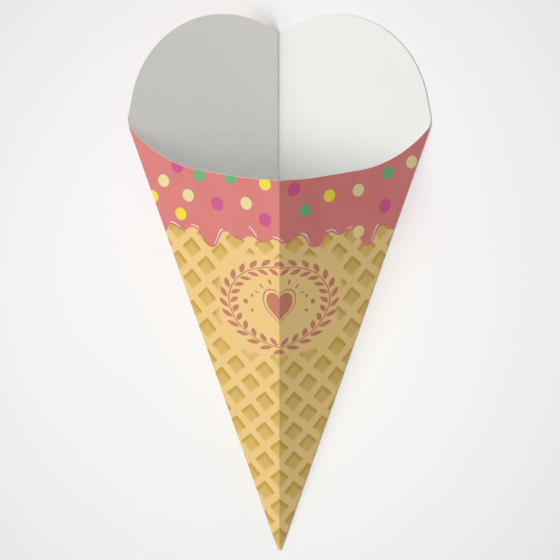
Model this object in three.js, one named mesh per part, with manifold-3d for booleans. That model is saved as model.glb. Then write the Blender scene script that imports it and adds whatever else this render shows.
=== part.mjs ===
import * as THREE from "three";
import Module from "manifold-3d";

// Paper cone for a rolled bubble waffle: one die-cut sheet of card, folded along four creases
// into a cone with a rhombic section and closed by a glue flap along its rear crease.
// Millimetres. The cone is worked out upright, with the point where its folds meet at the
// origin, its axis along +Z and its front crease towards -Y. At the end it is laid down.

// The sheet
const cardThickness = 0.4;
const insideFoldRadius = 0.1;

// The cone: four equal panels between two side folds, a front crease and a rear crease
const sideFoldLength = 210; // from the point to a corner of the mouth
const panelAngle = THREE.MathUtils.degToRad(21.6); // angle of one panel at the point
const sideFoldLean = THREE.MathUtils.degToRad(18.75); // lean of a side fold from the axis
const tipGap = 0.4; // flat width left between the side folds where the point is trimmed

// Front rim: straight across the crease, then an arc that climbs to each corner
const frontRimDrop = 15.9; // how far it lies below the corners, along the crease
const frontRimRadius = 51.9;

// Rear lobes: on each rear panel a short straight edge leaves the corner, then a round follows
const lobeEdgeLength = 12.6;
const lobeEdgeLean = THREE.MathUtils.degToRad(11.5); // towards the crease
const lobeRadius = 50.1;

// Glue flap: carries on from the right rear panel, stuck to the outside of the left one
const flapWidth = 12;
const flapSideMargin = 5; // from the flap's slanted lower end to the side fold
const flapTopMargin = 3; // from the flap's upper end to the notch between the lobes
const flapTopBevel = THREE.MathUtils.degToRad(30);

// Bead: the ridge that creasing pushes up on the inside of each fold
const beadReach = 0.25; // how far its foot runs past the bend, at the mouth
const beadHeight = 0.15; // at the mouth; it dies away towards the point
const beadReachShareAtTip = 0.1; // of half the tip gap

// Steps of the curves
const foldSteps = 6;
const lobeSteps = 30;
const frontArcSteps = 12;

const foldRadius = cardThickness + insideFoldRadius;
const up = new THREE.Vector3(0, 0, 1);

function leaning(x, y, lean) {
  return new THREE.Vector3(x * Math.sin(lean), y * Math.sin(lean), Math.cos(lean));
}

// A crease and a side fold enclose the panel angle, which sets the lean of the creases.
const creaseLean = Math.acos(Math.cos(panelAngle) / Math.cos(sideFoldLean));
const rightFold = leaning(1, 0, sideFoldLean);
const leftFold = leaning(-1, 0, sideFoldLean);
const frontCrease = leaning(0, -1, creaseLean);
const rearCrease = leaning(0, 1, creaseLean);

// A panel has its own flat frame: x away from its crease, y along the crease from the point.
function makePanel(crease, side) {
  const normal = new THREE.Vector3().crossVectors(crease, side).normalize();
  if (normal.z > 0) normal.negate();
  const across = side.clone().addScaledVector(crease, -side.dot(crease)).normalize();
  return { crease, side, normal, across };
}

const frontRight = makePanel(frontCrease, rightFold);
const rearRight = makePanel(rearCrease, rightFold);
const rearLeft = makePanel(rearCrease, leftFold);
const frontLeft = makePanel(frontCrease, leftFold);

function onPanel(panel, flat, depth) {
  return new THREE.Vector3()
    .addScaledVector(panel.across, flat.x)
    .addScaledVector(panel.crease, flat.y)
    .addScaledVector(panel.normal, -depth);
}

// The bend between two panels is round about a line parallel to the fold: this is that
// line's offset from the fold, for planes that lie level with the panels' outer faces.
function bendCentre(normalA, normalB) {
  const sum = normalA.clone().add(normalB);
  return sum.multiplyScalar(-foldRadius / (1 + normalA.dot(normalB)));
}

function turnedNormal(normalA, normalB, share) {
  const axis = new THREE.Vector3().crossVectors(normalA, normalB).normalize();
  return normalA.clone().applyAxisAngle(axis, normalA.angleTo(normalB) * share);
}

// How far from the fold the flat part of a panel starts.
function bendInset(normalA, normalB) {
  return foldRadius * Math.tan(normalA.angleTo(normalB) / 2);
}

const creaseInset = bendInset(rearRight.normal, rearLeft.normal);
const sideInset = bendInset(frontRight.normal, rearRight.normal);

// The point is trimmed square to the axis, where the centres of the side bends have parted by
// the tip gap. The bends' centres lie inside the faces by the fold radius, all round.
const faceSlope = -rearRight.normal.z;
const trimHeight = foldRadius / faceSlope + tipGap / (2 * Math.tan(sideFoldLean));

// The die line in a panel's flat frame
const corner = new THREE.Vector2(Math.sin(panelAngle), Math.cos(panelAngle))
  .multiplyScalar(sideFoldLength);
const alongSide = corner.clone().normalize();
const intoPanel = new THREE.Vector2(-alongSide.y, alongSide.x);

function arc(centre, radius, from, to, steps) {
  return Array.from({ length: steps + 1 }, (_, i) => {
    const angle = from + ((to - from) * i) / steps;
    return new THREE.Vector2(Math.cos(angle), Math.sin(angle)).multiplyScalar(radius).add(centre);
  });
}

function angleAbout(centre, point) {
  return Math.atan2(point.y - centre.y, point.x - centre.x);
}

// Where a line parallel to the side fold, that far inside the panel, meets a circle:
// first is -1 and last is 1, counted from the point of the cone.
function sideLineMeetsCircle(inset, centre, radius, which) {
  const start = intoPanel.clone().multiplyScalar(inset).sub(centre);
  const half = start.dot(alongSide);
  const reach = -half + which * Math.sqrt(half * half - start.lengthSq() + radius * radius);
  return start.add(centre).addScaledVector(alongSide, reach);
}

// Each rim runs from its crease to its side fold, short of both by the bends and the bead.
function frontRim(inset, sideLineInset) {
  const height = corner.y - frontRimDrop;
  const span = Math.sqrt(frontRimRadius ** 2 - (frontRimRadius - frontRimDrop) ** 2);
  const centre = new THREE.Vector2(corner.x - span, height + frontRimRadius);
  const end = sideLineMeetsCircle(sideLineInset, centre, frontRimRadius, -1);
  const straightEnd = -Math.PI / 2;
  const round = arc(centre, frontRimRadius, straightEnd, angleAbout(centre, end), frontArcSteps);
  return [new THREE.Vector2(inset, height), ...round];
}

const lobeEdgeRun = new THREE.Vector2(-Math.sin(lobeEdgeLean), Math.cos(lobeEdgeLean));
const lobeEdgeEnd = corner.clone().addScaledVector(lobeEdgeRun, lobeEdgeLength);
const lobeOutward = new THREE.Vector2(Math.cos(lobeEdgeLean), Math.sin(lobeEdgeLean));
const lobeCentre = lobeEdgeEnd.clone().addScaledVector(lobeOutward, -lobeRadius);

function lobeHeight(x) {
  return lobeCentre.y + Math.sqrt(lobeRadius ** 2 - (x - lobeCentre.x) ** 2);
}

function rearRim(inset, sideLineInset) {
  const start = angleAbout(lobeCentre, new THREE.Vector2(inset, lobeHeight(inset)));
  const round = arc(lobeCentre, lobeRadius, start, lobeEdgeLean, lobeSteps);
  const reach = sideLineInset / lobeEdgeRun.dot(intoPanel);
  return [...round, corner.clone().addScaledVector(lobeEdgeRun, reach)];
}

function atHeight(offset, direction, height) {
  return offset.clone().addScaledVector(direction, (height - offset.z) / direction.z);
}

// A section runs through the card, from the trimmed point to the rim on the outer face and
// back on the inner one. A row of sections round the cone makes the folded sheet.
const tipReach = (beadReachShareAtTip * tipGap) / 2;
const mouthInsets = { crease: creaseInset + beadReach, side: sideInset + beadReach };
const tipInsets = { crease: creaseInset + tipReach, side: sideInset + tipReach };

function panelSections(panel, rim) {
  const creaseLine = panel.across.clone().multiplyScalar(tipInsets.crease);
  const sideways = onPanel(panel, intoPanel, 0);
  const sideLine = sideways.multiplyScalar(tipInsets.side);
  const tipAt = (share, depth) => {
    const sunk = panel.normal.clone().multiplyScalar(-depth);
    const a = atHeight(creaseLine.clone().add(sunk), panel.crease, trimHeight);
    const b = atHeight(sideLine.clone().add(sunk), panel.side, trimHeight);
    return a.lerp(b, share);
  };
  const first = Math.atan2(rim[0].x, rim[0].y);
  const last = Math.atan2(rim[rim.length - 1].x, rim[rim.length - 1].y);
  return rim.map((flat) => {
    const share = (Math.atan2(flat.x, flat.y) - first) / (last - first);
    return [
      tipAt(share, 0),
      onPanel(panel, flat, 0),
      onPanel(panel, flat, cardThickness),
      tipAt(share, cardThickness),
    ];
  });
}

// Sections of one bend, between the last section of one panel and the first of the next. The
// outer face is the round bend; the inner one is a smooth curve whose middle is the bead.
function bendSections(fold, panelA, panelB, before, after) {
  const centre = bendCentre(panelA.normal, panelB.normal);
  const inward = centre.clone().normalize();
  const bead = (a, b, height, share) => {
    const middle = a.clone().lerp(b, 0.5);
    const top = middle.clone().addScaledVector(inward, 2 * height);
    return a.clone().lerp(top, share).lerp(top.clone().lerp(b, share), share);
  };
  const riseBefore = before[1].dot(fold);
  const riseAfter = after[1].dot(fold);
  return Array.from({ length: foldSteps + 1 }, (_, i) => {
    const share = i / foldSteps;
    const inner = (i + 1) / (foldSteps + 2);
    const normal = turnedNormal(panelA.normal, panelB.normal, share);
    const outer = centre.clone().addScaledVector(normal, foldRadius);
    const rise = THREE.MathUtils.lerp(riseBefore, riseAfter, inner) - outer.dot(fold);
    return [
      atHeight(outer, fold, trimHeight),
      outer.clone().addScaledVector(fold, rise),
      bead(before[2], after[2], beadHeight, inner),
      bead(before[3], after[3], 0, inner),
    ];
  });
}

// Joins a row of sections into a closed mesh: a ring if it closes on itself, or a bar with an
// end at each side. The row runs anticlockwise, seen from the mouth.
function meshFromSections(sections, isRing) {
  const corners = sections[0].length;
  const index = [];
  const steps = isRing ? sections.length : sections.length - 1;
  for (let i = 0; i < steps; i += 1) {
    const here = i * corners;
    const next = ((i + 1) % sections.length) * corners;
    for (let j = 0; j < corners; j += 1) {
      const k = (j + 1) % corners;
      index.push(here + j, next + j, next + k, here + j, next + k, here + k);
    }
  }
  if (!isRing) {
    const end = steps * corners;
    for (let j = 1; j < corners - 1; j += 1) {
      index.push(0, j, j + 1, end, end + j + 1, end + j);
    }
  }
  const positions = sections.flat().flatMap((point) => point.toArray());
  const geometry = new THREE.BufferGeometry();
  geometry.setAttribute("position", new THREE.Float32BufferAttribute(positions, 3));
  geometry.setIndex(index);
  return geometry;
}

// The folded sheet, anticlockwise from the front crease
function foldedSheet() {
  const front = frontRim(mouthInsets.crease, mouthInsets.side);
  const rear = rearRim(mouthInsets.crease, mouthInsets.side);
  const panels = [
    { panel: frontRight, sections: panelSections(frontRight, front), next: rightFold },
    { panel: rearRight, sections: panelSections(rearRight, rear).reverse(), next: rearCrease },
    { panel: rearLeft, sections: panelSections(rearLeft, rear), next: leftFold },
    { panel: frontLeft, sections: panelSections(frontLeft, front).reverse(), next: frontCrease },
  ];
  const ring = panels.flatMap(({ panel, sections, next }, i) => {
    const following = panels[(i + 1) % panels.length];
    const last = sections[sections.length - 1];
    const first = following.sections[0];
    return [...sections, ...bendSections(next, panel, following.panel, last, first)];
  });
  return meshFromSections(ring, true);
}

// The glue flap bends round the raw edge of the left rear panel, level with the outer face of
// the right one, and lies on the left one. Its body reaches to the middle of that panel's card.
function glueFlap() {
  const fold = rearCrease;
  const normalA = rearRight.normal;
  const normalB = rearLeft.normal;
  const cosine = normalA.dot(normalB);
  const stepOut = normalB.clone().addScaledVector(normalA, -cosine)
    .multiplyScalar(cardThickness / (1 - cosine * cosine));
  const centre = bendCentre(normalA, normalB);
  const sunkRadius = foldRadius - cardThickness / 2;
  const lowEnd = (x) => (x * Math.cos(panelAngle) + flapSideMargin) / Math.sin(panelAngle);
  const highEnd = (x) => lobeHeight(0) - flapTopMargin - x * Math.tan(flapTopBevel);
  const section = (outer, inner, x) => [
    outer.clone().addScaledVector(fold, lowEnd(x)),
    outer.clone().addScaledVector(fold, highEnd(x)),
    inner.clone().addScaledVector(fold, highEnd(x)),
    inner.clone().addScaledVector(fold, lowEnd(x)),
  ];
  const edgeOnRight = centre.clone().addScaledVector(normalA, foldRadius);
  const sunkOnRight = onPanel(rearRight, new THREE.Vector2(2 * creaseInset, 0), cardThickness / 2);
  const round = Array.from({ length: foldSteps + 1 }, (_, i) => {
    const normal = turnedNormal(normalA, normalB, i / foldSteps);
    const outer = centre.clone().add(stepOut).addScaledVector(normal, foldRadius);
    const inner = centre.clone().addScaledVector(normal, sunkRadius);
    return section(outer, inner, 0);
  });
  const farEdge = new THREE.Vector2(flapWidth, 0);
  const far = section(
    onPanel(rearLeft, farEdge, -cardThickness),
    onPanel(rearLeft, farEdge, cardThickness / 2),
    flapWidth,
  );
  return meshFromSections([section(edgeOnRight, sunkOnRight, 0), ...round, far], false);
}

const wasm = await Module();
wasm.setup();

function asSolid(geometry) {
  const vertProperties = geometry.getAttribute("position").array;
  const triVerts = new Uint32Array(geometry.getIndex().array);
  return new wasm.Manifold(new wasm.Mesh({ numProp: 3, vertProperties, triVerts }));
}

function asGeometry(solid) {
  const mesh = solid.getMesh();
  const geometry = new THREE.BufferGeometry();
  geometry.setAttribute("position", new THREE.BufferAttribute(mesh.vertProperties, mesh.numProp));
  geometry.setIndex(new THREE.BufferAttribute(mesh.triVerts, 1));
  return geometry;
}

const printedCard = new THREE.MeshStandardMaterial({
  color: 0xe4c27a,
  roughness: 0.55,
  metalness: 0,
});
const coneGeometry = asGeometry(asSolid(foldedSheet()).add(asSolid(glueFlap())));
const cone = new THREE.Mesh(coneGeometry, printedCard);
cone.name = "paper_cone";

// A cone of card can't stand, so it lies on its right rear panel, with the mouth towards +Y.
const down = rearRight.normal;
const ahead = up.clone().addScaledVector(down, -up.dot(down)).normalize();
const sideways = new THREE.Vector3().crossVectors(down, ahead);
const lyingAxes = new THREE.Matrix4().makeBasis(sideways, ahead, down.clone().negate());
cone.quaternion.setFromRotationMatrix(lyingAxes).invert();

// The origin is under the middle of the lying cone, on the surface that it lies on.
const part = new THREE.Group();
part.add(cone);
part.updateMatrixWorld(true);
const extent = new THREE.Box3().setFromObject(part, true);
const middle = extent.getCenter(new THREE.Vector3());
cone.position.set(-middle.x, -middle.y, -extent.min.z);

export default part;
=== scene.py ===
# %% [markdown]
# # A printed card cone for a bubble waffle
#
# The object is one sheet of card: four narrow panels and a glue flap, die-cut, printed on one
# side, folded along four creases and glued up the back. It has no stand, so it lies on one
# panel. The solid model of it comes in as a fixed frame. This lesson makes the sheet again as
# a fine surface with a print on it, lays it on the same spot, lights it and aims the camera.

# %% Load the frame
import math

import bpy
import mathutils
import numpy as np
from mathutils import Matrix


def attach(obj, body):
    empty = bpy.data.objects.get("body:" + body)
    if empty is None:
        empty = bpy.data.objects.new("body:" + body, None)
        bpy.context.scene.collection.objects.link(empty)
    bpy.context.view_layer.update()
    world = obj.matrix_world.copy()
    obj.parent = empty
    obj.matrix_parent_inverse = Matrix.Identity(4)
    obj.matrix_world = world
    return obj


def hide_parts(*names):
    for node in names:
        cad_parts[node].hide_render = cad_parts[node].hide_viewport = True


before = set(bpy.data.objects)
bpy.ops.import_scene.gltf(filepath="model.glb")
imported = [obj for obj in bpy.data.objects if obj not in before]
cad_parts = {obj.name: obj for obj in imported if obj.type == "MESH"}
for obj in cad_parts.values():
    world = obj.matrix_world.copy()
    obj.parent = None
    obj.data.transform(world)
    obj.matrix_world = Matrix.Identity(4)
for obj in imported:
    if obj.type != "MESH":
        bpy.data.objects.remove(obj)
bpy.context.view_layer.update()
MM = 0.001

# %% [markdown]
# ## The sizes of the sheet
#
# A folded sheet could be modelled by dragging faces about until it looks right, but then the
# panels wouldn't unfold flat. It is surer to write down the sizes of the flat sheet and to
# work out where the folds go. All sizes are millimetres until the mesh is made.

# %% Sizes of the card, the cone and the die line
CARD = 0.4
INSIDE_FOLD_RADIUS = 0.1
FOLD_RADIUS = CARD + INSIDE_FOLD_RADIUS
SIDE_FOLD = 210.0
PANEL_ANGLE = math.radians(21.6)
SIDE_FOLD_LEAN = math.radians(18.75)
TIP_GAP = 0.4
FRONT_RIM_DROP = 15.9
FRONT_RIM_RADIUS = 51.9
FRONT_RIM_RISE = 1.25
FRONT_RISE_REACH = 10.0
LOBE_EDGE = 12.6
LOBE_EDGE_LEAN = math.radians(11.5)
LOBE_RADIUS = 50.1
FLAP_WIDTH = 12.0
FLAP_SIDE_MARGIN = 5.0
FLAP_TOP_MARGIN = 3.0
FLAP_TOP_BEVEL = math.radians(30)
GLUE_GAP = 0.03
BEAD_REACH = 0.25
BEAD_HEIGHT = 0.15
TIP_REACH = 0.02
print("card", CARD, "mm, side fold", SIDE_FOLD, "mm")

# %% [markdown]
# ## Where the folds and panels go
#
# The cone is first worked out upright, its point at the origin. Each fold is a direction from
# the point. A side fold leans by a known angle, and because a side fold and a crease enclose
# one panel's angle, the lean of the creases follows: cos(panel) = cos(side) * cos(crease).
# A panel gets two axes in its own plane, across its crease and along it, and an outward normal.

# %% Directions of the folds and frames of the panels
CREASE_LEAN = math.acos(math.cos(PANEL_ANGLE) / math.cos(SIDE_FOLD_LEAN))


def leaning(x, y, lean):
    """Unit vector that leans from the axis towards (x, y)."""
    return np.array([x * math.sin(lean), y * math.sin(lean), math.cos(lean)])


def unit(v):
    """The same direction with length one."""
    return v / np.linalg.norm(v)


RIGHT_FOLD = leaning(1, 0, SIDE_FOLD_LEAN)
LEFT_FOLD = leaning(-1, 0, SIDE_FOLD_LEAN)
FRONT_CREASE = leaning(0, -1, CREASE_LEAN)
REAR_CREASE = leaning(0, 1, CREASE_LEAN)


def make_panel(crease, side, hand):
    """A panel's crease and side fold, outward normal, axis across the crease, and its hand."""
    normal = unit(np.cross(crease, side))
    if normal[2] > 0:
        normal = -normal
    across = unit(side - crease * crease.dot(side))
    return {"crease": crease, "side": side, "normal": normal, "across": across, "hand": hand}


front_right = make_panel(FRONT_CREASE, RIGHT_FOLD, 1)
rear_right = make_panel(REAR_CREASE, RIGHT_FOLD, 1)
rear_left = make_panel(REAR_CREASE, LEFT_FOLD, -1)
front_left = make_panel(FRONT_CREASE, LEFT_FOLD, -1)
print("crease lean, degrees:", round(math.degrees(CREASE_LEAN), 2))

# %% [markdown]
# ## The bends
#
# Card doesn't fold to a knife edge. Outside it turns on a radius of its own thickness and a
# little more. The bend is part of a round bar whose middle lies inside both panels by that
# radius, so the middle is found once, and the flat parts of the panels start where they touch
# the bar.

# %% Bend centres and where the flat parts start
def bend_centre(normal_a, normal_b, radius=FOLD_RADIUS):
    """The point that lies the radius inside both planes, in the plane across the fold."""
    return -(normal_a + normal_b) * radius / (1 + normal_a.dot(normal_b))


def bend_turn(normal_a, normal_b):
    """The angle between two normals."""
    return math.acos(normal_a.dot(normal_b))


CREASE_INSET = FOLD_RADIUS * math.tan(bend_turn(rear_right["normal"], rear_left["normal"]) / 2)
SIDE_INSET = FOLD_RADIUS * math.tan(bend_turn(front_right["normal"], rear_right["normal"]) / 2)
TRIM_HEIGHT = (FOLD_RADIUS / -rear_right["normal"][2]
               + TIP_GAP / (2 * math.tan(SIDE_FOLD_LEAN)))

# The flap bends round the raw edge of the left panel, so its bend is pushed out by a card.
lift = CARD + GLUE_GAP
n_right, n_left = rear_right["normal"], rear_left["normal"]
cosine = n_right.dot(n_left)
step_out = (n_left - n_right * cosine) * lift / (1 - cosine ** 2)
seam_centre = bend_centre(n_right, n_left) + step_out
SEAM_INSET_RIGHT = (seam_centre + n_right * FOLD_RADIUS).dot(rear_right["across"])
SEAM_INSET_FLAP = (seam_centre + n_left * FOLD_RADIUS).dot(rear_left["across"])
RAW_EDGE_INSET = lift / math.sqrt(1 - cosine ** 2)
print("insets, mm:", [round(v, 3) for v in (CREASE_INSET, SIDE_INSET, RAW_EDGE_INSET)])

# %% [markdown]
# ## The die line
#
# The rims are drawn in a panel's flat axes. The front rim is a straight line and an arc that
# touches it and ends at the corner. A rear lobe is an arc and a short straight edge that
# touches it. Both are one formula of the length run along them, so numpy gives all the points
# of a rim at once, evenly spaced. Next to the crease the front rim swells by a millimetre, so
# that it looks like one even curve when the two panels slope away from the eye.

# %% Front rim and rear lobe as arrays of flat points
CORNER = SIDE_FOLD * np.array([math.sin(PANEL_ANGLE), math.cos(PANEL_ANGLE)])
ALONG_SIDE = unit(CORNER)
INTO_PANEL = np.array([-ALONG_SIDE[1], ALONG_SIDE[0]])
lobe_run = np.array([-math.sin(LOBE_EDGE_LEAN), math.cos(LOBE_EDGE_LEAN)])
lobe_out = np.array([math.cos(LOBE_EDGE_LEAN), math.sin(LOBE_EDGE_LEAN)])
LOBE_END = CORNER + lobe_run * LOBE_EDGE
LOBE_CENTRE = LOBE_END - lobe_out * LOBE_RADIUS


def lobe_height(x):
    """Height of the lobe's arc over a point that far from the crease."""
    return LOBE_CENTRE[1] + np.sqrt(LOBE_RADIUS ** 2 - (x - LOBE_CENTRE[0]) ** 2)


def front_rim(crease_inset, side_inset, count):
    """A straight run, then an arc: x and y from the length run, up to the side fold's inset."""
    height = CORNER[1] - FRONT_RIM_DROP
    span = math.sqrt(FRONT_RIM_RADIUS ** 2 - (FRONT_RIM_RADIUS - FRONT_RIM_DROP) ** 2)
    centre = np.array([CORNER[0] - span, height + FRONT_RIM_RADIUS])
    start = INTO_PANEL * side_inset - centre
    half = start.dot(ALONG_SIDE)
    root = math.sqrt(half ** 2 - start.dot(start) + FRONT_RIM_RADIUS ** 2)
    end = start + ALONG_SIDE * (-half - root)
    straight = centre[0] - crease_inset
    curved = FRONT_RIM_RADIUS * math.atan2(end[0], -end[1])
    run = np.linspace(0, straight + curved, count)
    turned = np.maximum(run - straight, 0) / FRONT_RIM_RADIUS
    x = crease_inset + np.minimum(run, straight) + FRONT_RIM_RADIUS * np.sin(turned)
    y = height + FRONT_RIM_RADIUS * (1 - np.cos(turned))
    y = y + FRONT_RIM_RISE * np.exp(-(x / FRONT_RISE_REACH) ** 2)
    return np.stack([x, y], axis=1)


def rear_rim(crease_inset, side_inset, count):
    """An arc, then a straight run down to the side fold's inset: x and y from the length run."""
    first = math.atan2(lobe_height(crease_inset) - LOBE_CENTRE[1], crease_inset - LOBE_CENTRE[0])
    curved = LOBE_RADIUS * (first - LOBE_EDGE_LEAN)
    straight = LOBE_EDGE - side_inset / lobe_run.dot(INTO_PANEL)
    run = np.linspace(0, curved + straight, count)
    angle = first - np.minimum(run, curved) / LOBE_RADIUS
    round_part = LOBE_CENTRE + LOBE_RADIUS * np.stack([np.cos(angle), np.sin(angle)], axis=1)
    return round_part - np.maximum(run - curved, 0)[:, None] * lobe_run


print("lobe top, mm:", round(LOBE_CENTRE[1] + LOBE_RADIUS, 1))

# %% [markdown]
# ## Strips of the sheet
#
# A strip is a grid: its first parameter runs across the strip and its second from the trimmed
# point to the rim. Every strip keeps the outer face, the inner face and the place in the flat
# print, three arrays of the same shape, and whether it belongs to the front. The rows lie close
# together at both ends, so that the smooth shading of the flat face doesn't lean over at the
# cut edge.

# %% Panels and the flap as grids
INNER_ROWS = 47
GUARD_SHARE = 0.001
ROWS = np.concatenate([[0.0], np.linspace(GUARD_SHARE, 1 - GUARD_SHARE, INNER_ROWS), [1.0]])
PANEL_COLUMNS = 72
FLAP_COLUMNS = 14


def at_height(points, direction, height):
    """Slides points along a direction until they are that high."""
    return points + direction * ((height - points[..., 2]) / direction[2])[..., None]


def grid_between(tips, rims):
    """Straight lines from each tip point to its rim point, cut at the rows' shares."""
    return tips[:, None, :] + (rims - tips)[:, None, :] * ROWS[None, :, None]


def panel_strip(panel, rim, tip_crease_inset):
    """Flat panel from its crease to its side fold: lines from the trimmed point to the rim."""
    angle = np.arctan2(rim[:, 0], rim[:, 1])
    share = ((angle - angle[0]) / (angle[-1] - angle[0]))[:, None]
    axes = np.stack([panel["across"], panel["crease"]])
    faces = []
    for depth in (0.0, CARD):
        sunk = -panel["normal"] * depth
        near = at_height(panel["across"] * tip_crease_inset + sunk, panel["crease"], TRIM_HEIGHT)
        side_start = INTO_PANEL @ axes * (SIDE_INSET + TIP_REACH) + sunk
        far = at_height(side_start, panel["side"], TRIM_HEIGHT)
        faces.append(grid_between(near + (far - near) * share, rim @ axes + sunk))
    flat = faces[0] @ axes.T * np.array([panel["hand"], 1])
    facing = 1.0 if panel["normal"][1] < 0 else 0.0
    return {"outer": faces[0], "inner": faces[1], "flat": flat,
            "front": np.full(len(rim), facing)}


def flap_strip():
    """Glue flap on the left panel: lines parallel to the crease between its two cut ends."""
    x = np.linspace(SEAM_INSET_FLAP + BEAD_REACH, FLAP_WIDTH, FLAP_COLUMNS)
    low = (x * math.cos(PANEL_ANGLE) + FLAP_SIDE_MARGIN) / math.sin(PANEL_ANGLE)
    high = lobe_height(0) - FLAP_TOP_MARGIN - x * math.tan(FLAP_TOP_BEVEL)
    axes = np.stack([rear_left["across"], rear_left["crease"]])
    flat = grid_between(np.stack([x, low], axis=1), np.stack([x, high], axis=1))
    outer = flat @ axes + rear_left["normal"] * lift
    inner = flat @ axes + rear_left["normal"] * GLUE_GAP
    return {"outer": outer, "inner": inner, "flat": flat * np.array([-1, 1]),
            "front": np.zeros(FLAP_COLUMNS)}


def reverse(strip):
    """The same strip, run from its other side."""
    return {name: points[::-1] for name, points in strip.items()}


print("a panel's grid:", PANEL_COLUMNS, "by", len(ROWS))

# %% [markdown]
# ## Strips that bend
#
# A bend joins the edge points of its two neighbours. Outside, its points lie on the round bar.
# Inside, a curve runs between the same two edges, and its middle is pulled inwards into a small
# bead, because the card is squeezed there.

# %% Bends as grids
BEND_COLUMNS = 9


def bend_strip(before, after, panel_a, panel_b, fold, centre, folded_flat):
    """Bend: outside a round bar, inside a curve with two ends and a middle raised as a bead."""
    share = np.linspace(0, 1, BEND_COLUMNS)
    inner_share = (np.arange(BEND_COLUMNS) + 1) / (BEND_COLUMNS + 1)
    w = inner_share[:, None, None]
    axis = unit(np.cross(panel_a["normal"], panel_b["normal"]))
    turn = bend_turn(panel_a["normal"], panel_b["normal"]) * share
    sideways = np.cross(axis, panel_a["normal"])
    normals = np.cos(turn)[:, None] * panel_a["normal"] + np.sin(turn)[:, None] * sideways
    a, b = before["outer"][-1], after["outer"][0]
    rise = (a @ fold)[None, :] * (1 - inner_share[:, None]) + (b @ fold)[None, :] * w[..., 0]
    rim = centre + normals * FOLD_RADIUS
    outer = rim[:, None, :] + (rise - (rim @ fold)[:, None])[..., None] * fold
    c, d = before["inner"][-1], after["inner"][0]
    inward = unit(-(panel_a["normal"] + panel_b["normal"]))
    top = (c + d) / 2 + inward * (2 * BEAD_HEIGHT * ROWS)[:, None]
    inner = c * (1 - w) ** 2 + top * 2 * w * (1 - w) + d * w ** 2
    e, g = before["flat"][-1], after["flat"][0]
    middle = folded_flat((e + g) / 2)
    flat = np.where(w < 0.5, e + (middle - e) * 2 * w, middle + (g - middle) * (2 * w - 1))
    front = np.linspace(before["front"][-1], after["front"][0], BEND_COLUMNS)
    return {"outer": outer, "inner": inner, "flat": flat, "front": front}


def on_crease(flat):
    """The point of the flat sheet moved sideways onto the crease."""
    return flat * np.array([0, 1])


def on_side_fold(hand):
    """A function that moves points of the flat sheet squarely onto that hand's side fold."""
    along = ALONG_SIDE * np.array([hand, 1])
    return lambda flat: (flat @ along)[:, None] * along


print("a bend's grid:", BEND_COLUMNS, "by", len(ROWS))

# %% [markdown]
# ## Joining the strips
#
# The sheet starts at the raw edge of the left rear panel and runs once round the cone: left
# front, right front, right rear, and over the seam to the flap. The strips only have to be put
# side by side, because each bend starts and ends next to the edge points of its neighbours.

# %% Join the strips, anticlockwise as seen from the mouth
front_line = front_rim(CREASE_INSET + BEAD_REACH, SIDE_INSET + BEAD_REACH, PANEL_COLUMNS)
seam_line = rear_rim(SEAM_INSET_RIGHT + BEAD_REACH, SIDE_INSET + BEAD_REACH, PANEL_COLUMNS)
raw_line = rear_rim(RAW_EDGE_INSET, SIDE_INSET + BEAD_REACH, PANEL_COLUMNS)
tip_inset = CREASE_INSET + TIP_REACH
left_rear = panel_strip(rear_left, raw_line, tip_inset)
left_front = reverse(panel_strip(front_left, front_line, tip_inset))
right_front = panel_strip(front_right, front_line, tip_inset)
right_rear = reverse(panel_strip(rear_right, seam_line, SEAM_INSET_RIGHT + TIP_REACH))
flap = flap_strip()
side_centre_left = bend_centre(rear_left["normal"], front_left["normal"])
side_centre_right = bend_centre(front_right["normal"], rear_right["normal"])
front_centre = bend_centre(front_left["normal"], front_right["normal"])
strips = [
    left_rear,
    bend_strip(left_rear, left_front, rear_left, front_left, LEFT_FOLD,
               side_centre_left, on_side_fold(-1)),
    left_front,
    bend_strip(left_front, right_front, front_left, front_right, FRONT_CREASE,
               front_centre, on_crease),
    right_front,
    bend_strip(right_front, right_rear, front_right, rear_right, RIGHT_FOLD,
               side_centre_right, on_side_fold(1)),
    right_rear,
    bend_strip(right_rear, flap, rear_right, rear_left, REAR_CREASE, seam_centre, on_crease),
    flap,
]
sheet = {name: np.concatenate([strip[name] for strip in strips])
         for name in ("outer", "inner", "flat", "front")}
print("sheet grid:", sheet["outer"].shape[:2])

# %% [markdown]
# ## From grid to mesh
#
# Each column of the sheet becomes a closed loop: up the outer face, over the cut edge at the
# rim, down the inner face and over the cut edge at the point. Neighbouring loops are joined
# with four-sided faces, and the two raw ends of the sheet are closed. The cut edge bulges a
# little, because a die squeezes the card before it cuts. A UV map holds the place in the flat
# print, in millimetres, so the print can be drawn as on the flat sheet and still turn the
# folds. The front and the rear share these places, mirrored over the side folds, and a number
# kept with each point tells them apart.

# %% Close the sheet over its cut edges
EDGE_SHARES = np.array([0.2, 0.5, 0.8])
EDGE_BULGE = 0.05


def cut_edge(last_a, before_a, last_b, before_b):
    """Points across a cut edge from face a to face b, bulged away from the sheet."""
    away = last_a - before_a + last_b - before_b
    away = away / np.linalg.norm(away, axis=1, keepdims=True)
    s = EDGE_SHARES[None, :, None]
    bulge = EDGE_BULGE * 4 * s * (1 - s)
    return last_a[:, None] * (1 - s) + last_b[:, None] * s + away[:, None] * bulge


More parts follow.
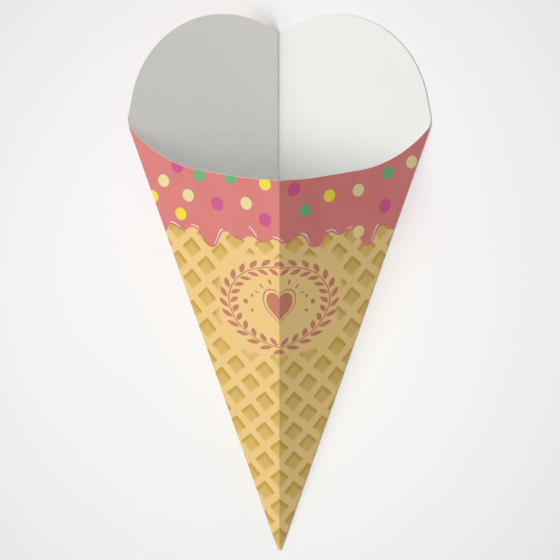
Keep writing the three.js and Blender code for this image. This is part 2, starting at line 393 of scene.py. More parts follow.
outer, inner, flat = sheet["outer"], sheet["inner"], sheet["flat"]
rim_edge = cut_edge(outer[:, -1], outer[:, -2], inner[:, -1], inner[:, -2])
tip_edge = cut_edge(inner[:, 0], inner[:, 1], outer[:, 0], outer[:, 1])
loops = np.concatenate([outer, rim_edge, inner[:, ::-1], tip_edge], axis=1)
edge_points = len(EDGE_SHARES)
rim_flat = np.repeat(flat[:, -1:], edge_points, axis=1)
tip_flat = np.repeat(flat[:, :1], edge_points, axis=1)
loop_flat = np.concatenate([flat, rim_flat, flat[:, ::-1], tip_flat], axis=1)
columns, around = loops.shape[:2]
print("points:", columns * around)

# %% [markdown]
# ## Laying the cone down
#
# A cone of card can't stand on its point, so it comes to rest on one panel. Down is that
# panel's outward normal, and ahead is the cone's axis laid flat on the floor. These directions
# make the turn, and the box of the turned points gives the shift that centres the cone.

# %% Lay the cone on its right rear panel
down = rear_right["normal"]
ahead = unit(np.array([0, 0, 1]) - down * down[2])
LYING = np.stack([np.cross(down, ahead), ahead, -down])
laid = loops @ LYING.T
low, high = laid.min(axis=(0, 1)), laid.max(axis=(0, 1))
SHIFT = -np.array([(low[0] + high[0]) / 2, (low[1] + high[1]) / 2, low[2]])
laid = (laid + SHIFT) * MM


def to_row(point):
    """A point of the upright cone, in millimetres, where it comes to lie, in metres."""
    return (LYING @ np.asarray(point, dtype=float) + SHIFT) * MM


def set_pose(thing, axes, position):
    """Turns a camera or lamp so that its own axes are the columns, and puts it there."""
    pose = np.eye(4)
    pose[:3, :3] = axes
    pose[:3, 3] = position
    thing.matrix_world = mathutils.Matrix(pose.tolist())


print("lies at, mm:", (laid.min(axis=(0, 1)) / MM).round(2), (laid.max(axis=(0, 1)) / MM).round(2))

# %% [markdown]
# ## Faces and zones
#
# All the walls come from one pattern of four point numbers, repeated over the grid. The place
# of a face in its loop says what it is: printed outside, bare inside or cut edge. The raw ends
# of the sheet are closed between their outer and inner rows.

# %% Make the mesh and its flat-sheet UV map
PRINTED, BARE, CUT = 0, 1, 2
rows = len(ROWS)
here = np.arange(columns - 1)[:, None] * around
j = np.arange(around)[None, :]
k = (j + 1) % around
walls = np.stack([here + j, here + around + j, here + around + k, here + k], axis=-1)
zone = np.full(around, CUT)
zone[:rows - 1] = PRINTED
zone[rows + edge_points:2 * rows + edge_points - 1] = BARE
wall_zone = np.broadcast_to(zone, walls.shape[:2])

i = np.arange(rows - 1)
facing = 2 * rows + edge_points - 1 - i
start_cap = np.stack([i, i + 1, facing - 1, facing], axis=-1)
end_cap = start_cap[:, ::-1] + (columns - 1) * around
rim_ring = np.arange(rows - 1, rows + edge_points + 1)
tip_ring = np.append(np.arange(2 * rows + edge_points - 1, around), 0)
quads = np.concatenate([walls.reshape(-1, 4), start_cap, end_cap]).tolist()
last = (columns - 1) * around
quads += [rim_ring.tolist(), tip_ring.tolist()]
quads += [(rim_ring[::-1] + last).tolist(), (tip_ring[::-1] + last).tolist()]
zones = np.concatenate([wall_zone.reshape(-1), np.full(2 * (rows - 1) + 4, CUT)])

mesh = bpy.data.meshes.new("folded_card")
mesh.from_pydata(laid.reshape(-1, 3).tolist(), [], quads)
mesh.validate()
mesh.polygons.foreach_set("material_index", zones.astype(np.int32))
mesh.polygons.foreach_set("use_smooth", np.ones(len(mesh.polygons), dtype=bool))
corner_vertex = np.empty(len(mesh.loops), dtype=np.int32)
mesh.loops.foreach_get("vertex_index", corner_vertex)
uv = mesh.uv_layers.new(name="flat_sheet")
uv.data.foreach_set("uv", loop_flat.reshape(-1, 2)[corner_vertex].astype(np.float32).ravel())
front_mark = mesh.attributes.new("front", "FLOAT", "POINT")
front_mark.data.foreach_set("value", np.repeat(sheet["front"], around).astype(np.float32))
mesh.update()
card = bpy.data.objects.new("folded_card", mesh)
bpy.context.scene.collection.objects.link(card)
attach(card, "root")
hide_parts("paper_cone")
print("faces:", len(mesh.polygons))

# %% [markdown]
# ## Formulas as shader nodes
#
# The print is drawn by formulas, so it stays sharp at any distance. A formula needs many Math
# nodes, which are tedious to place one by one. The small class here stands for one number that
# changes over the surface, and adding or multiplying two of them places the node.

# %% Wires: numbers that place their own Math nodes
def connect(tree, term, socket):
    """Feeds a socket from a wire, from another socket or with a plain value."""
    if isinstance(term, Wire):
        tree.links.new(term.socket, socket)
    elif isinstance(term, bpy.types.NodeSocket):
        tree.links.new(term, socket)
    else:
        socket.default_value = term


class Wire:
    """One number per point of the surface. Sums, products and the like are Math nodes."""

    def __init__(self, tree, socket):
        """Keeps the tree and the socket that gives the number."""
        self.tree = tree
        self.socket = socket

    def math(self, operation, *others):
        """A Math node with this number first; its result is a new wire."""
        node = self.tree.nodes.new("ShaderNodeMath")
        node.operation = operation
        for socket, term in zip(node.inputs, (self, *others)):
            connect(self.tree, term, socket)
        return Wire(self.tree, node.outputs[0])

    def __add__(self, other):
        return self.math("ADD", other)

    def __sub__(self, other):
        return self.math("SUBTRACT", other)

    def __mul__(self, other):
        return self.math("MULTIPLY", other)

    def __truediv__(self, other):
        return self.math("DIVIDE", other)

    def __abs__(self):
        return self.math("ABSOLUTE")

    def least(self, other):
        """The smaller of two numbers; for two shapes given by distances, it joins them."""
        return self.math("MINIMUM", other)

    def most(self, other):
        """The larger of two numbers; for two shapes given by distances, it is their overlap."""
        return self.math("MAXIMUM", other)

    def below(self, edge, blur):
        """One where the number is under the edge, zero over it, with a soft step between."""
        node = self.tree.nodes.new("ShaderNodeMapRange")
        node.interpolation_type = "SMOOTHSTEP"
        values = (self, edge - blur, edge + blur, 1.0, 0.0)
        for socket, term in zip(node.inputs, values):
            connect(self.tree, term, socket)
        return Wire(self.tree, node.outputs["Result"])


print("methods of a wire:", [name for name in vars(Wire) if not name.startswith("_")])

# %% [markdown]
# ## Noise, colours and node groups
#
# A few more helpers place the other nodes. A colour is written as it looks on screen and turned
# into linear light. A node group keeps one formula under a name, so that it can be used again.

# %% Helpers for noise, colours and groups
def place_noise(tree, place, scale, detail):
    """A Noise node over the given places; gives the node."""
    noise = tree.nodes.new("ShaderNodeTexNoise")
    noise.inputs["Scale"].default_value = scale
    noise.inputs["Detail"].default_value = detail
    tree.links.new(place, noise.inputs["Vector"])
    return noise


def wobble(tree, flat_socket, size, amount):
    """Moves places of the flat sheet about by a slow noise, like a line drawn by hand."""
    noise = place_noise(tree, flat_socket, 1 / size, 1.0)
    shift = tree.nodes.new("ShaderNodeVectorMath")
    shift.operation = "MULTIPLY_ADD"
    tree.links.new(noise.outputs["Color"], shift.inputs[0])
    shift.inputs[1].default_value = (2 * amount, 2 * amount, 0.0)
    tree.links.new(flat_socket, shift.inputs[2])
    back = tree.nodes.new("ShaderNodeVectorMath")
    back.operation = "SUBTRACT"
    tree.links.new(shift.outputs[0], back.inputs[0])
    back.inputs[1].default_value = (amount, amount, 0.0)
    return back.outputs[0]


def length_of(x, y):
    """Distance from the origin: the square root of the sum of the squares."""
    return (x * x + y * y).math("SQRT")


def blend_colours(tree, share, below, above):
    """Goes from the colour below to the colour above by the share."""
    node = tree.nodes.new("ShaderNodeMix")
    node.data_type = "RGBA"
    connect(tree, share, node.inputs["Factor"])
    connect(tree, below, node.inputs[6])
    connect(tree, above, node.inputs[7])
    return node.outputs[2]


def colour(red, green, blue):
    """A colour given as it looks on screen, 0 to 255, turned into the shader's linear light."""
    screen = np.array([red, green, blue]) / 255
    linear = np.where(screen <= 0.04045, screen / 12.92, ((screen + 0.055) / 1.055) ** 2.4)
    return (*linear.tolist(), 1.0)


def new_group(name, inputs, outputs):
    """An empty node group with named sockets; gives its tree, its inputs and its output node."""
    tree = bpy.data.node_groups.new(name, "ShaderNodeTree")
    for label, kind, value in inputs:
        socket = tree.interface.new_socket(label, in_out="INPUT", socket_type=kind)
        if value is not None:
            socket.default_value = value
    for label, kind in outputs:
        tree.interface.new_socket(label, in_out="OUTPUT", socket_type=kind)
    inner_side = tree.nodes.new("NodeGroupInput")
    return tree, inner_side.outputs, tree.nodes.new("NodeGroupOutput")


def use_group(tree, group, **values):
    """Places a node group, feeds its inputs by name, and gives its outputs."""
    node = tree.nodes.new("ShaderNodeGroup")
    node.node_tree = group
    for name, value in values.items():
        connect(tree, value, node.inputs[name])
    return node.outputs


FLOAT, VECTOR = "NodeSocketFloat", "NodeSocketVector"


def flat_axes(tree, flat_socket):
    """The two coordinates of the flat sheet as wires."""
    split = tree.nodes.new("ShaderNodeSeparateXYZ")
    tree.links.new(flat_socket, split.inputs[0])
    return Wire(tree, split.outputs[0]), Wire(tree, split.outputs[1])


print("node helpers ready")

# %% [markdown]
# ## The waffle lattice
#
# The printed waffle is a square lattice stood on its corner. Turning the coordinates by 45
# degrees makes it an upright lattice, and a remainder turns it into one cell, repeated. A
# pocket is the cell's rounded square. It has a soft shadow under its two upper sides and fades
# into the rib at its lower ones, which makes flat ink look sunk.

# %% Node group: waffle lattice
LATTICE_PITCH = 14.78
FIRST_POCKET = 83.9
POCKET_SIDE = 7.0
POCKET_ROUND = 0.7
POCKET_BLUR = 0.22
SHADOW_REACH, SHADOW_BLUR = 1.5, 0.9
FOOT_REACH, FOOT_BLUR = 0.6, 1.2
UNEVEN_EVERY, UNEVEN_BY = 4.0, 0.35

waffle, given, result = new_group(
    "waffle lattice",
    [("Flat", VECTOR, None), ("Fade", FLOAT, 0.0)],
    [("Pocket", FLOAT), ("Shadow", FLOAT), ("Foot", FLOAT)],
)
x, y = flat_axes(waffle, wobble(waffle, given["Flat"], UNEVEN_EVERY, UNEVEN_BY))
cell = LATTICE_PITCH / math.sqrt(2)
y = y - FIRST_POCKET


def in_cell(turned):
    """Distance from the middle of the cell, along one side of the square."""
    steps = turned * (1 / math.sqrt(2) / cell) + 0.5
    return (steps.math("FLOORED_MODULO", 1.0) - 0.5) * cell


right_side = in_cell(x + y)
left_side = in_cell(y - x)
half_side = POCKET_SIDE / 2
gap_x = abs(right_side) - (half_side - POCKET_ROUND)
gap_y = abs(left_side) - (half_side - POCKET_ROUND)
outside = length_of(gap_x.most(0.0), gap_y.most(0.0)) + gap_x.most(gap_y).least(0.0)
edge_distance = outside - POCKET_ROUND
kept = Wire(waffle, given["Fade"]) * -1.0 + 1.0
upper = right_side.most(left_side)
lower = right_side.least(left_side)
pocket = edge_distance.below(0.0, POCKET_BLUR) * kept
shadow = (upper * -1.0).below(SHADOW_REACH - half_side, SHADOW_BLUR) * pocket
foot = lower.below(FOOT_REACH - half_side, FOOT_BLUR) * pocket
connect(waffle, pocket, result.inputs["Pocket"])
connect(waffle, shadow, result.inputs["Shadow"])
connect(waffle, foot, result.inputs["Foot"])
print("lattice cell, mm:", round(cell, 2))

# %% [markdown]
# ## The icing
#
# Pink icing covers the top and runs down in drips. Its edge is one height for each place
# across the sheet, so a curve node holds it: each point of the curve is a crest or
# drip, and the node rounds the line through them. A dark line of uneven width runs just inside
# the edge, and thin pale lines follow it in places, like light caught on a thick rim. Both keep
# an even distance on the steep sides too, because the height over the edge is divided by the
# length of the slope there.

# %% Node group: icing with drips
DRIP_SPAN = 64.0
DRIP_LOW, DRIP_HIGH = 140.0, 160.0
DRIP_EDGE = [
    (-64.0, 149.5), (-58.8, 147.8), (-55.0, 152.2), (-49.0, 150.5), (-43.5, 152.7), (-33.9, 145.1),
    (-26.9, 153.5), (-20.3, 151.0), (-14.0, 153.3), (-8.2, 151.5), (-2.3, 153.9), (2.9, 152.0),
    (9.8, 154.3), (15.4, 148.4), (18.7, 147.7), (25.4, 153.3), (30.0, 151.4), (36.7, 152.9),
    (44.8, 144.0), (52.2, 152.2), (57.8, 149.4), (64.0, 151.5),
]
GLINTS = [(-55.8, -50.0), (-44.8, -40.2), (-33.2, -28.1), (-3.5, 2.4), (10.3, 15.8),
          (23.1, 29.2), (33.6, 37.2), (46.0, 50.9), (59.1, 62.0)]
GLINT_RISE = 1.0
GLINT_WIDTH = 0.24
GLINT_FADE = 0.5
STROKE_X, STROKE_Y = -13.0, 155.7
STROKE_TURN = math.radians(-48)
STROKE_HALF = 2.8
STROKE_BOW = 0.06
LINE_BLUR = 0.14
ICING_BLUR = 0.12
SHADE_REACH, SHADE_BLUR = 0.25, 0.45
PEN_EVERY = 0.12
PEN_LIFT, PEN_PRESS, PEN_BLUR = 0.42, 1.1, 0.16

icing, given, result = new_group(
    "icing", [("Flat", VECTOR, None)],
    [("Icing", FLOAT), ("Glint", FLOAT), ("Rim", FLOAT), ("Shade", FLOAT)])
x, y = flat_axes(icing, given["Flat"])
points = [((px / DRIP_SPAN + 1) / 2, (py - DRIP_LOW) / (DRIP_HIGH - DRIP_LOW))
          for px, py in DRIP_EDGE]


def edge_height(place):
    """Height of the icing's edge there: a curve through the crests and drips."""
    node = icing.nodes.new("ShaderNodeFloatCurve")
    curve = node.mapping.curves[0]
    curve.points[0].location = points[0]
    curve.points[1].location = points[-1]
    for crest in points[1:-1]:
        curve.points.new(*crest)
    for point in curve.points:
        point.handle_type = "AUTO"
    node.mapping.update()
    connect(icing, place / (2 * DRIP_SPAN) + 0.5, node.inputs["Value"])
    return Wire(icing, node.outputs[0]) * (DRIP_HIGH - DRIP_LOW) + DRIP_LOW


slope = edge_height(x + 0.5) - edge_height(x - 0.5)
over = (y - edge_height(x)) / (slope * slope + 1.0).math("SQRT")
connect(icing, (over * -1.0).below(0.0, ICING_BLUR), result.inputs["Icing"])
connect(icing, abs(over).below(SHADE_REACH, SHADE_BLUR), result.inputs["Shade"])
drawn = place_noise(icing, given["Flat"], PEN_EVERY, 1.0)
pen_width = (Wire(icing, drawn.outputs[0]) - PEN_LIFT) * PEN_PRESS
connect(icing, abs(over - pen_width * 0.7).below(pen_width, PEN_BLUR), result.inputs["Rim"])
line = abs(over - GLINT_RISE).below(GLINT_WIDTH, LINE_BLUR)
window = None
for start, stop in GLINTS:
    inside = abs(x - (start + stop) / 2).below((stop - start) / 2 - 0.4, GLINT_FADE)
    window = inside if window is None else window.most(inside)
c, s = math.cos(STROKE_TURN), math.sin(STROKE_TURN)
along = (x - STROKE_X) * c + (y - STROKE_Y) * s
across = (y - STROKE_Y) * c - (x - STROKE_X) * s
bowed = abs(across + along * along * STROKE_BOW - 0.2) - GLINT_WIDTH
stroke = bowed.most(abs(along) - STROKE_HALF).below(0.0, LINE_BLUR)
connect(icing, (line * window).most(stroke), result.inputs["Glint"])
print("drips and crests:", len(DRIP_EDGE))

# %% [markdown]
# ## Sugar dots
#
# Confetti dots are scattered over the icing. Each colour is one mask: the distance to the
# nearest of its dots, cut at the dot's radius. A loop adds the dots of a colour one by one and
# keeps the smallest distance.

# %% Node groups: one mask for each colour of dot
DOTS = {
    "magenta": (3.15, [(-51.2, 179.6), (-30.9, 165.5), (-7.0, 162.1), (7.2, 175.9), (53.6, 160.9),
                       (-14.5, 193.0), (-42.0, 206.5), (-66.5, 214.0), (30.5, 201.5),
                       (50.5, 223.0), (9.0, 228.5), (-24.0, 231.5)]),
    "green": (2.85, [(-40.0, 177.2), (-24.3, 178.2), (54.7, 176.1), (12.7, 165.4),
                     (-4.5, 208.0), (-60.0, 196.5), (-47.5, 228.5), (41.5, 211.5), (66.0, 196.5),
                     (27.0, 238.5)]),
    "yellow": (2.85, [(-7.1, 178.2), (-64.3, 163.6), (-49.8, 157.8), (24.9, 170.1),
                      (-30.5, 194.5), (-11.5, 220.5), (-37.5, 240.0), (17.0, 190.5),
                      (56.5, 206.5), (38.5, 231.0)]),
    "cream": (2.85, [(-58.4, 171.8), (-45.8, 167.0), (-16.4, 168.0), (39.5, 170.4),
                     (67.0, 179.1), (40.0, 151.1), (-50.5, 190.5), (-27.0, 212.5), (-58.0, 217.5),
                     (4.0, 194.0), (45.0, 190.5), (17.5, 213.5), (62.5, 218.5), (-9.0, 238.0)]),
}
DOT_BLUR = 0.14


def dot_group(name, radius, centres):
    """Mask of round dots: the least distance to any centre, cut at the radius."""
    tree, given, result = new_group(name, [("Flat", VECTOR, None)], [("Dots", FLOAT)])
    nearest = None
    for place in centres:
        node = tree.nodes.new("ShaderNodeVectorMath")
        node.operation = "DISTANCE"
        tree.links.new(given["Flat"], node.inputs[0])
        node.inputs[1].default_value = (*place, 0.0)
        distance = Wire(tree, node.outputs["Value"])
        nearest = distance if nearest is None else nearest.least(distance)
    connect(tree, nearest.below(radius, DOT_BLUR), result.inputs["Dots"])
    return tree


dot_groups = {name: dot_group(name + " dots", *row) for name, row in DOTS.items()}
print("dots:", sum(len(row[1]) for row in DOTS.values()))

# %% [markdown]
# ## The ornament
#
# The field in front carries an ornament in one terracotta ink: a heart in an oval wreath, with
# short rays over it. Folding the angle round the middle by a remainder draws one leaf and
# repeats it all round the wreath. A leaf is the overlap of two circles. A heart is a circle
# whose height is pushed up by the square root of the distance from its middle line.

# %% Node group: ornament of heart, rays and wreath
ORNAMENT_Y = 122.5
WREATH_HEIGHT = 18.5
WREATH_WIDEN = 1.38
LEAVES = 26
LEAF_LENGTH = 4.6
LEAF_WIDTH = 1.9
LEAF_TILT = math.radians(38)
LEAF_OFFSET = 2.0
STEM_HALF = 0.24
HEART = 6.6
HEART_DROP = 1.2
OUTLINE_OFFSET, OUTLINE_HALF = 1.5, 0.3
RAY_RING = 12.4
RAY_STEP = math.radians(20)
RAY_START = 0.3
RAY_HALF = 0.42
RAY_SLIMNESS = 0.35
RAY_FOOT = 5.0
BERRIES = [(17.0, 0.0, 1.15), (13.6, -3.4, 0.75), (13.6, 3.4, 0.75)]
DRAWN_EVERY, DRAWN_BY = 5.0, 0.4
INK_BLUR = 0.13

ornament, given, result = new_group(
    "ornament", [("Flat", VECTOR, None)], [("Ink", FLOAT)])
x, y = flat_axes(ornament, wobble(ornament, given["Flat"], DRAWN_EVERY, DRAWN_BY))
x = abs(x)
y = y - ORNAMENT_Y
oval_x = x / WREATH_WIDEN
from_ring = length_of(oval_x, y) - WREATH_HEIGHT
angle = y.math("ARCTAN2", oval_x)
leaf_step = 2 * math.pi / LEAVES


def folded(turn, step):
    """The angle from the middle of the nearest of the even steps."""
    return ((turn / step).math("FLOORED_MODULO", 1.0) - 0.5) * step


def leaf(along_ring, off_ring, tilt):
    """The overlap of two circles: how far a point lies outside it."""
    c, s = math.cos(tilt), math.sin(tilt)
    along = along_ring * c + off_ring * s
    across = abs(off_ring * c - along_ring * s)
    offset = (LEAF_LENGTH ** 2 - LEAF_WIDTH ** 2) / (4 * LEAF_WIDTH)
    return length_of(along, across + offset) - (offset + LEAF_WIDTH / 2)


ring_place = folded(angle, leaf_step) * WREATH_HEIGHT
shifted_place = folded(angle + leaf_step / 2, leaf_step) * WREATH_HEIGHT
outer_leaves = leaf(ring_place, from_ring - LEAF_OFFSET, LEAF_TILT)
inner_leaves = leaf(shifted_place, from_ring + LEAF_OFFSET, -LEAF_TILT)
stem = abs(from_ring) - STEM_HALF
heart_x = x / HEART
heart_y = (y + HEART_DROP) / HEART
heart = (length_of(heart_x, heart_y * 1.2 - heart_x.math("SQRT") * 0.75) - 1.0) * HEART
heart_line = abs(heart - OUTLINE_OFFSET) - OUTLINE_HALF
from_heart = length_of(x, y)
beside_ray = abs(folded(angle + RAY_START, RAY_STEP)) * from_heart
ray = beside_ray.most(abs(from_heart - RAY_RING) * RAY_SLIMNESS) - RAY_HALF
ray = ray.most(y * -1.0 + RAY_FOOT)
shapes = outer_leaves.least(inner_leaves)
for part in (stem, heart, heart_line, ray):
    shapes = shapes.least(part)
for berry_x, berry_y, radius in BERRIES:
    shapes = shapes.least(length_of(x - berry_x, y - berry_y) - radius)
connect(ornament, shapes.below(0.0, INK_BLUR), result.inputs["Ink"])
print("leaves:", 2 * LEAVES)

# %% [markdown]
# ## Paper fibres
#
# Card is pressed fibre. Fine noise, stretched a little along the grain, gives a felt of
# fibres, and a coarser one gives the cloudy look of the board. The same group serves the
# print and the bare side, each with its own grain.

# %% Node group: paper fibres
FIBRE_STRETCH = (1.0, 0.45, 1.0)

fibres, given, result = new_group(
    "paper fibres",
    [("Flat", VECTOR, None), ("Grain", FLOAT, 2.5)],
    [("Felt", FLOAT), ("Clouds", FLOAT)],
)
stretch = fibres.nodes.new("ShaderNodeMapping")
stretch.inputs["Scale"].default_value = FIBRE_STRETCH
fibres.links.new(given["Flat"], stretch.inputs["Vector"])
for label, scale_by, detail in (("Felt", 1.0, 5.0), ("Clouds", 0.035, 3.0)):
    noise = place_noise(fibres, stretch.outputs[0], 1.0, detail)
    connect(fibres, Wire(fibres, given["Grain"]) * scale_by, noise.inputs["Scale"])
    fibres.links.new(noise.outputs[0], result.inputs[label])
print("fibre group ready")

# %% [markdown]
# ## Wear and painted shade along the folds
#
# Along a fold the ink cracks, and the white board shows as a broken hairline. Inside, a little
# grey is painted next to the fold: painted shade in the crease. Both masks come from the distance
# to the nearest fold in the flat sheet, and a fine noise breaks the hairline up.

# %% Node group: folds in the flat sheet
CRACK_HALF, CRACK_BLUR, CRACK_RAGGED = 0.32, 0.1, 0.5
FOLD_SHADE_HALF, FOLD_SHADE_BLUR = 0.5, 0.5

folds, given, result = new_group(
    "folds", [("Flat", VECTOR, None)], [("Crack", FLOAT), ("Fold shade", FLOAT)])
x, y = flat_axes(folds, given["Flat"])
to_side = abs(abs(x) * math.cos(PANEL_ANGLE) - y * math.sin(PANEL_ANGLE))
to_fold = abs(x).least(to_side)
broken = Wire(folds, place_noise(folds, given["Flat"], 1.6, 4.0).outputs[0])
crack = (to_fold + broken * CRACK_RAGGED).below(CRACK_HALF, CRACK_BLUR)
connect(folds, crack, result.inputs["Crack"])
# Second mask: where grey is painted next to a fold, as painted shade in the crease.
connect(folds, to_fold.below(FOLD_SHADE_HALF, FOLD_SHADE_BLUR), result.inputs["Fold shade"])
print("fold group ready")

# %% [markdown]
# ## Materials
#
# Each material is one Principled shader. Its colour is a stack of blended layers, drawn over
# the places of the flat sheet, and a Bump node raises the felt of the paper.

# %% Helpers for materials
def flat_map(tree):
    """The place on the flat sheet, from the piece's own UV map."""
    node = tree.nodes.new("ShaderNodeUVMap")
    node.uv_map = "flat_sheet"
    return node.outputs[0]


def front_share(tree):
    """One on the front panels and zero on the rear ones, from the number kept with the points."""
    node = tree.nodes.new("ShaderNodeAttribute")
    node.attribute_name = "front"
    return Wire(tree, node.outputs["Fac"])


def new_material(name, roughness, specular):
    """A material with a Principled shader; gives the material, its tree and the shader."""
    material = bpy.data.materials.new(name)
    material.use_nodes = True
    tree = material.node_tree
    shader = tree.nodes["Principled BSDF"]
    shader.inputs["Roughness"].default_value = roughness
    shader.inputs["Specular IOR Level"].default_value = specular
    return material, tree, shader


def add_bump(tree, shader, height, distance, strength):
    """Raises the surface by a height wire, as a Bump node on the shader's normal."""
    node = tree.nodes.new("ShaderNodeBump")
    node.inputs["Strength"].default_value = strength
    node.inputs["Distance"].default_value = distance
    connect(tree, height, node.inputs["Height"])
    tree.links.new(node.outputs[0], shader.inputs["Normal"])


print("material helpers ready")

# %% [markdown]
# ## The printed side
#
# The layers are laid as a printer lays them: the rib colour first, the pockets with their feet
# and shadows, the ornament, then the icing with its rim and glints, and the dots on top. Behind
# the ornament the pockets fade out, so the field stays calm. Last comes what the card itself
# adds: a little of the board's clouds, and the cracks along the folds.

# %% Material: printed card
INK = {
    "rib": colour(241, 206, 132),
    "pocket": colour(220, 182, 92),
    "pocket shadow": colour(200, 162, 64),
    "pocket foot": colour(229, 194, 112),
    "icing": colour(220, 123, 120),
    "icing rim": colour(172, 88, 76),
    "glint": colour(255, 222, 212),
    "magenta": colour(210, 76, 142),
    "green": colour(98, 182, 118),
    "yellow": colour(246, 226, 30),
    "cream": colour(236, 222, 156),
    "ornament": colour(196, 108, 92),
    "board": colour(244, 242, 236),
}
COVER = {"ornament": 0.9, "icing shade": 0.3, "icing rim": 0.6, "crack": 0.16}
PRINT_GRAIN = 2.5
FELT_RELIEF = 0.00003
FIELD = {"half width": 30.5, "bottom": 99.0, "top": 145.5, "round": 9.0, "blur": 1.9}
FIELD_UNEVEN_EVERY, FIELD_UNEVEN_BY = 9.0, 3.5

print_side, tree, shader = new_material("printed_card", 0.55, 0.18)
flat_socket = flat_map(tree)
uneven = wobble(tree, flat_socket, FIELD_UNEVEN_EVERY, FIELD_UNEVEN_BY)
uneven_x, uneven_y = flat_axes(tree, uneven)
mid_y = (FIELD["bottom"] + FIELD["top"]) / 2
half_y = (FIELD["top"] - FIELD["bottom"]) / 2
gap_x = (abs(uneven_x) - (FIELD["half width"] - FIELD["round"])).most(0.0)
gap_y = (abs(uneven_y - mid_y) - (half_y - FIELD["round"])).most(0.0)
is_front = front_share(tree)
field = length_of(gap_x, gap_y).below(FIELD["round"], FIELD["blur"]) * is_front
lattice = use_group(tree, waffle, Flat=flat_socket, Fade=field)
ink = blend_colours(tree, lattice["Pocket"], INK["rib"], INK["pocket"])
ink = blend_colours(tree, lattice["Foot"], ink, INK["pocket foot"])
ink = blend_colours(tree, lattice["Shadow"], ink, INK["pocket shadow"])
drawing = use_group(tree, ornament, Flat=flat_socket)
drawn = Wire(tree, drawing["Ink"]) * COVER["ornament"] * is_front
ink = blend_colours(tree, drawn, ink, INK["ornament"])
top = use_group(tree, icing, Flat=flat_socket)
under_rim = Wire(tree, top["Shade"]) * COVER["icing shade"]
ink = blend_colours(tree, under_rim, ink, INK["icing rim"])
ink = blend_colours(tree, top["Icing"], ink, INK["icing"])
rim_line = Wire(tree, top["Rim"]) * top["Icing"] * COVER["icing rim"]
ink = blend_colours(tree, rim_line, ink, INK["icing rim"])
ink = blend_colours(tree, top["Glint"], ink, INK["glint"])
for name, group in dot_groups.items():
    ink = blend_colours(tree, use_group(tree, group, Flat=flat_socket)["Dots"], ink, INK[name])
grain = use_group(tree, fibres, Flat=flat_socket, Grain=PRINT_GRAIN)
crease = use_group(tree, folds, Flat=flat_socket)
felt = Wire(tree, grain["Felt"])
clouds = Wire(tree, grain["Clouds"])
ink = blend_colours(tree, (clouds - 0.5) * 0.12 + 0.04, ink, INK["board"])
ink = blend_colours(tree, Wire(tree, crease["Crack"]) * COVER["crack"], ink, INK["board"])
tree.links.new(ink, shader.inputs["Base Color"])
connect(tree, felt * 0.12 + 0.5, shader.inputs["Roughness"])
add_bump(tree, shader, felt, FELT_RELIEF, 0.25)
print("layers of ink:", len(INK))

# %% [markdown]
# ## The bare side and the cut edge
#
# The inside is uncoated board: white, dull, with a soft felt and faint clouds. Beside the rear
# crease, where the sheet was folded over to glue it, a second score line is drawn as a line of
# painted shade, with a painted highlight in a bright strip between it and the crease; the mesh
# has neither groove nor ridge, and both fade out towards the point. The cut edge shows streaks
# of fibre and is rougher still.

# %% Materials: bare board and cut edge
BOARD = {
    "board": colour(241, 241, 239),
    "cloud": colour(235, 235, 232),
    "felt": colour(224, 224, 220),
    # fold: grey painted next to the folds inside, painted shade in the creases
    "fold": colour(196, 197, 192),
    # strip: painted highlight beside the rear crease; score: a line of painted shade for the score
    "strip": colour(250, 250, 248),
    "score": colour(176, 177, 172),
    "edge": colour(250, 244, 236),
    "edge streak": colour(232, 216, 205),
}
BOARD_GRAIN = 1.8
BOARD_RELIEF = 0.00005
SCORE_OFFSET = 1.5
SCORE_HALF = 0.16
SCORE_BLUR = 0.14
SCORE_END, SCORE_FADE = 162.0, 14.0
EDGE_STREAKS = 2500.0

bare_side, tree, shader = new_material("bare_board", 0.85, 0.2)
flat_socket = flat_map(tree)
grain = use_group(tree, fibres, Flat=flat_socket, Grain=BOARD_GRAIN)
crease = use_group(tree, folds, Flat=flat_socket)
felt = Wire(tree, grain["Felt"])
clouds = Wire(tree, grain["Clouds"])
paper = blend_colours(tree, clouds * 0.6, BOARD["board"], BOARD["cloud"])
paper = blend_colours(tree, felt * 0.2, paper, BOARD["felt"])
# Grey next to the folds: painted shade in the crease.
paper = blend_colours(tree, Wire(tree, crease["Fold shade"]) * 0.25, paper, BOARD["fold"])
x, y = flat_axes(tree, flat_socket)
behind = front_share(tree).below(0.5, 0.1)
near_mouth = y.below(SCORE_END, SCORE_FADE) * -1.0 + 1.0
# A dark line of painted shade for the score's groove, and a bright strip of painted highlight
# between it and the crease.
score = abs(x - SCORE_OFFSET).below(SCORE_HALF, SCORE_BLUR) * behind * near_mouth
from_highlight_strip = abs(x - SCORE_OFFSET / 2 - 0.15)
strip = from_highlight_strip.below(SCORE_OFFSET / 2 - 0.3, 0.2) * behind * near_mouth
paper = blend_colours(tree, strip * 0.5, paper, BOARD["strip"])
paper = blend_colours(tree, score * 0.55, paper, BOARD["score"])
tree.links.new(paper, shader.inputs["Base Color"])
add_bump(tree, shader, felt, BOARD_RELIEF, 0.4)

cut_side, tree, shader = new_material("cut_edge", 0.9, 0.2)
place = tree.nodes.new("ShaderNodeTexCoord").outputs["Object"]
fuzz = Wire(tree, place_noise(tree, place, EDGE_STREAKS, 3.0).outputs[0])
paper = blend_colours(tree, fuzz, BOARD["edge"], BOARD["edge streak"])
tree.links.new(paper, shader.inputs["Base Color"])
add_bump(tree, shader, fuzz, BOARD_RELIEF, 0.5)

for material in (print_side, bare_side, cut_side):
    mesh.materials.append(material)
print("materials:", [m.name for m in mesh.materials])

# %% [markdown]
# ## Camera
#
# The camera belongs to the upright cone: it stood in front of it, a little above, looking
# slightly down through a long lens. The cone has been laid down, so the camera is laid down
# with it, and its view of the cone stays the same.

# %% Camera in front of the cone, laid down with it
CORNER_HEIGHT = SIDE_FOLD * math.cos(SIDE_FOLD_LEAN)
LOOK_DOWN = math.radians(9.58)
LOOK_AT_SHARE = 0.648
STAND_BACK_SHARE = 4.27
SENSOR = 36.0
LENS = 122.0
SIDE_SHIFT = 0.0012
CLIP_START = 0.01

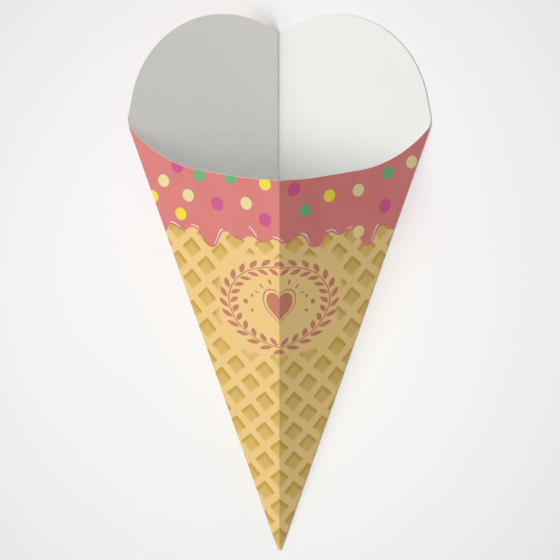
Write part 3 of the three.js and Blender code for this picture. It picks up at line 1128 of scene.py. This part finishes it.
forward = np.array([0, math.cos(LOOK_DOWN), -math.sin(LOOK_DOWN)])
up = np.array([0, math.sin(LOOK_DOWN), math.cos(LOOK_DOWN)])
camera_data = bpy.data.cameras.new("camera")
camera_data.sensor_width = SENSOR
camera_data.lens = LENS
camera_data.shift_x = SIDE_SHIFT
camera_data.clip_start = CLIP_START
camera = bpy.data.objects.new("camera", camera_data)
look_at = np.array([0, 0, LOOK_AT_SHARE * CORNER_HEIGHT])
camera_spot = to_row(look_at - forward * STAND_BACK_SHARE * CORNER_HEIGHT)
set_pose(camera, LYING @ np.stack([np.array([1, 0, 0]), up, -forward], axis=1), camera_spot)
bpy.context.scene.collection.objects.link(camera)
bpy.context.scene.camera = camera
print("camera at, m:", camera_spot.round(3))

# %% [markdown]
# ## Floor and light
#
# A plain pale floor whose colour is painted darker outwards, a painted shade for the edge of the
# light as on a studio sweep, a pale sky that fills the shadows, and one large soft lamp. Its
# direction is given for the upright cone, where it stands on the left and in front, and is laid
# down like the camera. It lights the left front panel and the inside of the right rear one, and
# leaves the other two in half shade, which is what shows the fold. A weak second lamp over the
# mouth brings a little light down inside and along the cut edge of the front rim.

# %% Floor, sky and lamp
FLOOR_GAP = 0.0002
FLOOR_SIZE = 6.0
FLOOR_MIDDLE = colour(251, 252, 253)
FLOOR_PAINTED_SHADE = colour(208, 209, 210)
FLOOR_FADE = 0.2
SKY_COLOUR = (1.0, 0.978, 0.94, 1.0)
SKY_STRENGTH = 0.4
LAMP_COLOUR = (0.985, 0.99, 1.0)
KEY = {"direction": (-0.78, -0.6, 0.1), "distance": 1.5, "size": 0.9, "power": 15.5}
MOUTH_FILL = {"direction": (0.25, -0.3, 1.0), "distance": 1.2, "size": 0.5, "power": 1.9}

floor_mesh = bpy.data.meshes.new("floor")
h = FLOOR_SIZE / 2
floor_mesh.from_pydata(
    [(-h, -h, -FLOOR_GAP), (h, -h, -FLOOR_GAP), (h, h, -FLOOR_GAP), (-h, h, -FLOOR_GAP)],
    [], [(0, 1, 2, 3)])
floor = bpy.data.objects.new("floor", floor_mesh)
bpy.context.scene.collection.objects.link(floor)
floor_paint, tree, shader = new_material("floor", 0.9, 0.2)
spot = tree.nodes.new("ShaderNodeTexCoord").outputs["Object"]
x, y = flat_axes(tree, spot)
# The floor's colour darkens outwards: painted shade for the fall-off of the light.
near = length_of(x, y).below(FLOOR_FADE, FLOOR_FADE)
tree.links.new(blend_colours(tree, near, FLOOR_PAINTED_SHADE, FLOOR_MIDDLE), shader.inputs["Base Color"])
floor_mesh.materials.append(floor_paint)

world = bpy.data.worlds.new("sky")
bpy.context.scene.world = world
world.use_nodes = True
sky = world.node_tree.nodes["Background"]
sky.inputs["Color"].default_value = SKY_COLOUR
sky.inputs["Strength"].default_value = SKY_STRENGTH


def add_lamp(name, direction, distance, size, power):
    """A square soft lamp in that direction of the upright cone, laid down and aimed at it."""
    data = bpy.data.lights.new(name, "AREA")
    data.shape = "SQUARE"
    data.color = LAMP_COLOUR
    data.size = size
    data.energy = power
    lamp = bpy.data.objects.new(name, data)
    back = unit(LYING @ np.array(direction))
    side = unit(np.cross([0, 0, 1], back))
    set_pose(lamp, np.stack([side, np.cross(back, side), back], axis=1), back * distance)
    bpy.context.scene.collection.objects.link(lamp)
    print(name, "at, m:", (back * distance).round(2))


add_lamp("key", **KEY)
add_lamp("mouth fill", **MOUTH_FILL)
bpy.context.scene.view_settings.view_transform = "Standard"

# %% [markdown]
# ## The same space as the solid model
#
# The fine surface has to fill the space of the solid model that it stands for.
